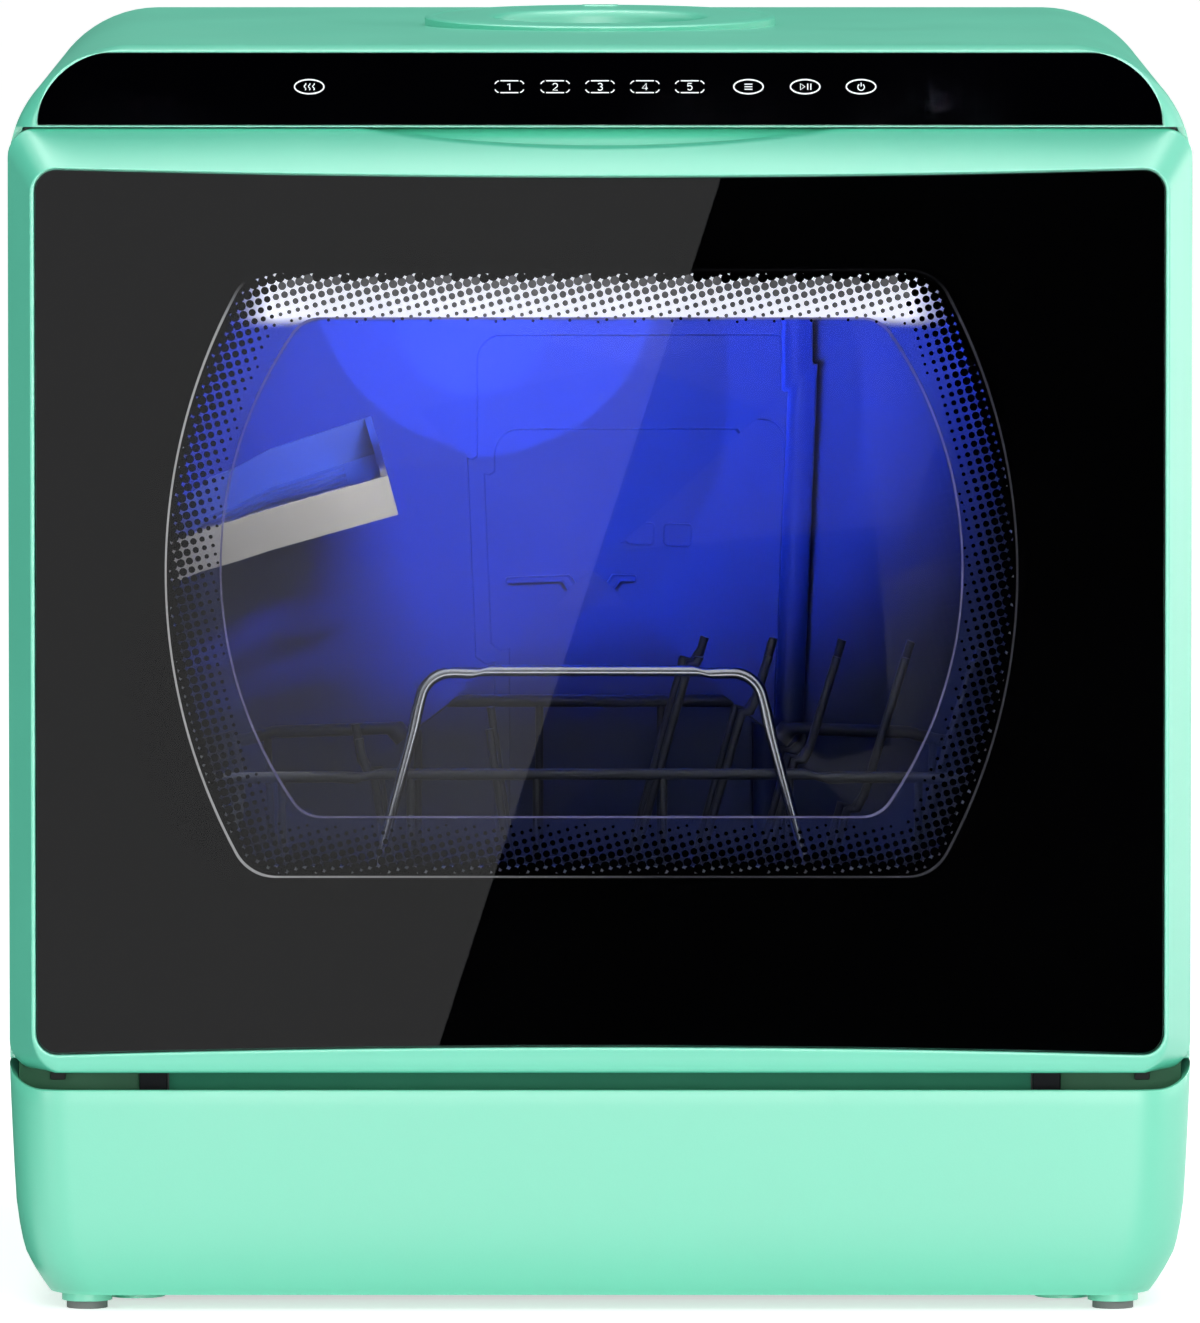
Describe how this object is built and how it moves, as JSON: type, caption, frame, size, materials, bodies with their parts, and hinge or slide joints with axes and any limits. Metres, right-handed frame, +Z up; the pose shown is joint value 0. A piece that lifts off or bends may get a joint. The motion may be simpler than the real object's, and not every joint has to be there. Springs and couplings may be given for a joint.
{
  "type": "countertop dishwasher",
  "caption": "Mint green countertop dishwasher with a black glass drop-down door, blue-lit window, wire rack, folding cup shelf, spray arms and a water inlet on top.",
  "frame": {"origin": "on the floor under the middle of the cabinet", "axes": "+Z up, -Y out through the door towards the user, +X to the user's right"},
  "size_m": [0.42, 0.43, 0.4545],
  "materials": {
    "base_mint": "satin, mint green",
    "dark_plastic": "dark moulded frame",
    "foot_rubber": "matt grey",
    "mint_plastic": "satin, mint green",
    "panel_black": "polished black",
    "circuit": "green lacquered board",
    "white_plastic": "moulded white",
    "grey_plastic": "moulded grey",
    "bright_steel": "polished",
    "black_rubber": "matt black",
    "tub_plastic": "pale satin inside, lit blue",
    "lens": "frosted, lit blue",
    "tank_plastic": "milky",
    "arm_black": "black",
    "glass": "clear, dark tinted",
    "print": "black print with a dot border",
    "liner": "pale moulded",
    "pane": "clear",
    "shelf_grey": "warm grey moulded",
    "rack_coat": "black coated wire"
  },
  "bodies": {
    "cabinet": {"base_shell": "base_mint", "bottom_plate": "dark_plastic", "foot_collars": "base_mint", "foot_pads": "foot_rubber", "casing": "mint_plastic", "console_front": "mint_plastic", "control_panel": "panel_black", "display_board": "circuit", "inlet_funnel": "mint_plastic", "inlet_strainer": "white_plastic", "inlet_hose": "grey_plastic", "rear_panel": "mint_plastic", "rear_screws": "bright_steel", "inlet_valve": "white_plastic", "drain_outlet": "grey_plastic", "cord_gland": "black_rubber", "front_frame": "dark_plastic", "finger_pocket": "mint_plastic", "door_gasket": "black_rubber", "tub": "tub_plastic", "tub_rails": "tub_plastic", "lamp_lens": "lens", "water_tank": "tank_plastic", "control_board": "circuit", "fan_housing": "grey_plastic", "air_duct": "grey_plastic", "sump": "grey_plastic", "sump_filter": "bright_steel", "heater": "bright_steel", "wash_pump": "grey_plastic", "drain_pump": "grey_plastic", "wash_hose": "black_rubber", "drain_hose": "black_rubber", "lower_arm_post": "tub_plastic", "feed_pipe": "tub_plastic", "float_guide": "tub_plastic", "latch_catch": "grey_plastic", "hinge_arms": "arm_black", "hinge_pins": "bright_steel", "slot_stops": "black_rubber", "shelf_brackets": "tub_plastic"},
    "door": {"door_frame": "mint_plastic", "door_glass": "glass", "glass_print": "print", "door_liner": "liner", "inner_window": "pane", "latch_hook": "bright_steel"},
    "rack": {"rack_floor": "rack_coat", "rack_ends": "rack_coat", "rack_sides": "rack_coat", "rack_tines": "rack_coat", "rack_handle": "bright_steel", "rack_glides": "white_plastic"},
    "shelf": {"cup_shelf": "shelf_grey"},
    "lower_arm": {"lower_spray_arm": "bright_steel"},
    "upper_arm": {"upper_spray_arm": "bright_steel"},
    "fan_wheel": {"fan_impeller": "arm_black"},
    "pump_wheel": {"pump_impeller": "white_plastic"},
    "filter": {"filter_cup": "grey_plastic"},
    "level_float": {"float": "white_plastic"}
  },
  "joints": [
    {"name": "door_hinge", "type": "hinge", "parent": "cabinet", "child": "door", "pos_m": [0, -0.2, 0.095], "axis": [1, 0, 0], "range_deg": [0, 90]},
    {"name": "rack_slide", "type": "slide", "parent": "cabinet", "child": "rack", "axis": [0, -1, 0], "range_m": [0, 0.082]},
    {"name": "shelf_hinge", "type": "hinge", "parent": "cabinet", "child": "shelf", "pos_m": [-0.162, -0.03, 0.251], "axis": [0, -1, 0], "range_deg": [0, 75]},
    {"name": "lower_arm_spin", "type": "hinge", "parent": "cabinet", "child": "lower_arm", "pos_m": [0, -0.025, 0.1135], "axis": [0, 0, 1], "continuous": true},
    {"name": "upper_arm_spin", "type": "hinge", "parent": "cabinet", "child": "upper_arm", "pos_m": [0, -0.025, 0.3855], "axis": [0, 0, 1], "continuous": true},
    {"name": "fan_spin", "type": "hinge", "parent": "cabinet", "child": "fan_wheel", "pos_m": [0.148, 0.18, 0.318], "axis": [0, 1, 0], "continuous": true},
    {"name": "pump_spin", "type": "hinge", "parent": "cabinet", "child": "pump_wheel", "pos_m": [-0.062, 0.066, 0.052], "axis": [1, 0, 0], "continuous": true},
    {"name": "filter_twist", "type": "hinge", "parent": "cabinet", "child": "filter", "pos_m": [0, 0.066, 0.08], "axis": [0, 0, 1], "range_deg": [0, 60]},
    {"name": "float_slide", "type": "slide", "parent": "cabinet", "child": "level_float", "axis": [0, 0, 1], "range_m": [0, 0.008]}
  ],
  "couplings": [
    {"joint": "rack_slide", "follows": "door_hinge", "m_per_rad": 0.0522}
  ]
}
